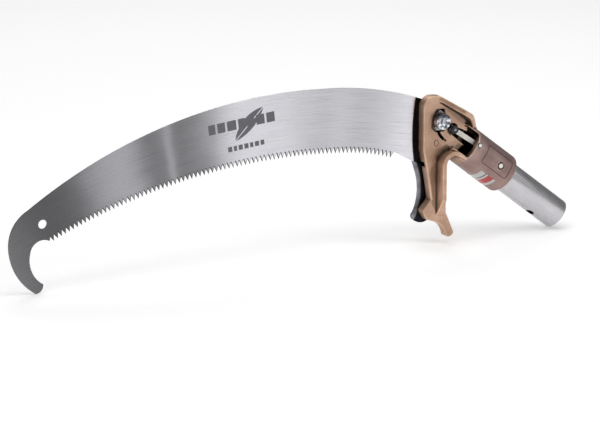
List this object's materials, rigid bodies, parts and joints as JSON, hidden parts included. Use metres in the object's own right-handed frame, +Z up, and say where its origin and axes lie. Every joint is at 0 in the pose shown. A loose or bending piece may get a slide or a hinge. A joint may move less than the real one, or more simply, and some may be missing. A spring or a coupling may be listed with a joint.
{
  "type": "pole saw head",
  "caption": "Curved pole saw head with a hooked blade, a cast bronze-coloured holder with a spring latch, and a short ferrule tube for a telescoping pole.",
  "frame": {"origin": "centre of the ferrule tube's mouth, where the pole goes in", "axes": "+Z up, blade in an XZ plane with its hook towards -X, bolt side towards -Y, pole running down towards +X"},
  "size_m": [0.6183, 0.042, 0.1722],
  "materials": {
    "blade_steel": "ground",
    "bronze_paint": "satin",
    "bare_steel": "rolled",
    "zinc_steel": "plated",
    "chrome": "polished",
    "nylon": "moulded",
    "dark_steel": "blackened",
    "spring_steel": "stainless",
    "tube_aluminium": "brushed",
    "label_vinyl": "printed"
  },
  "bodies": {
    "head": {"head_casting": "bronze_paint", "undercut_knife": "bare_steel", "knife_screws": "zinc_steel", "pivot_bush": "zinc_steel", "lock_plate": "zinc_steel", "pivot_bolt": "chrome", "back_washer": "zinc_steel", "lock_nut": "zinc_steel", "nut_insert": "nylon", "leaf_spring": "spring_steel", "spring_rivet": "zinc_steel", "ferrule_tube": "tube_aluminium", "tube_rivet": "zinc_steel", "warning_label": "label_vinyl"},
    "blade": {"blade": "blade_steel"},
    "latch": {"latch_pin": "zinc_steel", "latch_knob": "dark_steel"}
  },
  "joints": [
    {"name": "blade_swing", "type": "hinge", "parent": "head", "child": "blade", "pos_m": [-0.1425, 0.005, 0.11489], "axis": [0, 1, 0], "range_deg": [0, 45]},
    {"name": "latch_pull", "type": "slide", "parent": "head", "child": "latch", "axis": [0, -1, 0], "range_m": [0, 0.0035], "stiffness_N_per_m": 2500, "springref_m": -0.002, "deforming": ["leaf_spring"]}
  ]
}
